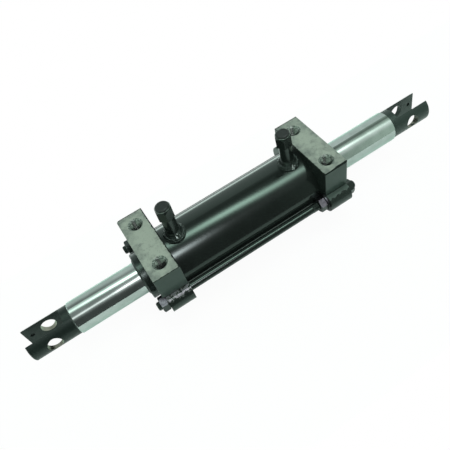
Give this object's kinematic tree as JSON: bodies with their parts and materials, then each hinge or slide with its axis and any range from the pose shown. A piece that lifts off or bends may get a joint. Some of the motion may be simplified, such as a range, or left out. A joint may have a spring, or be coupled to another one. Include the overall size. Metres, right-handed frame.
{
  "type": "hydraulic cylinder",
  "caption": "Double-ended hydraulic steering cylinder with tie rods, foot-mounted heads, welded ports and a through rod with slotted fork ends",
  "frame": {"origin": "centre of the four threaded foot holes, in the plane of the machined foot faces", "axes": "+X along the rod, towards the end with the inner nut; +Y across the feet, away from the inner nut; +Z out of the feet, the way the ports stand"},
  "size_m": [0.5698, 0.123, 0.1394],
  "materials": {
    "gloss_black_paint": "gloss enamel over cast iron and steel, feet left bare as machined",
    "chrome_plate": "polished hard chrome, fork ends blackened",
    "zinc_steel": "bare zinc plate",
    "grey_iron": "machined all over",
    "bronze": "machined bearing bronze",
    "seal_rubber": "moulded",
    "black_plastic": "moulded"
  },
  "bodies": {
    "barrel": {"cylinder_tube": "gloss_black_paint", "head_left": "gloss_black_paint", "head_right": "gloss_black_paint", "head_static_ring_left": "seal_rubber", "head_static_ring_right": "seal_rubber", "rod_bush_left": "bronze", "rod_bush_right": "bronze", "rod_seal_left": "seal_rubber", "rod_seal_right": "seal_rubber", "rod_wiper_left": "seal_rubber", "rod_wiper_right": "seal_rubber", "tie_rod_near": "gloss_black_paint", "tie_rod_far": "gloss_black_paint", "nut_left_near": "zinc_steel", "nut_left_far": "gloss_black_paint", "nut_right_near": "gloss_black_paint", "nut_right_far": "gloss_black_paint", "inner_nut": "zinc_steel", "inner_washer": "zinc_steel", "port_stub_left": "gloss_black_paint", "port_stub_right": "gloss_black_paint", "port_plug_left": "black_plastic", "port_plug_right": "black_plastic"},
    "piston_rings": {"piston_seal": "black_plastic", "guide_ring_left": "black_plastic", "guide_ring_right": "black_plastic"},
    "rod": {"rod": "chrome_plate", "piston": "grey_iron", "piston_static_ring": "seal_rubber", "retaining_ring_left": "zinc_steel", "retaining_ring_right": "zinc_steel"}
  },
  "joints": [
    {"name": "piston_slide", "type": "slide", "parent": "barrel", "child": "piston_rings", "axis": [1, 0, 0], "range_m": [-0.0633, 0.0567]},
    {"name": "rod_turn", "type": "hinge", "parent": "piston_rings", "child": "rod", "pos_m": [0.0033, 0, -0.049], "axis": [1, 0, 0], "continuous": true}
  ]
}
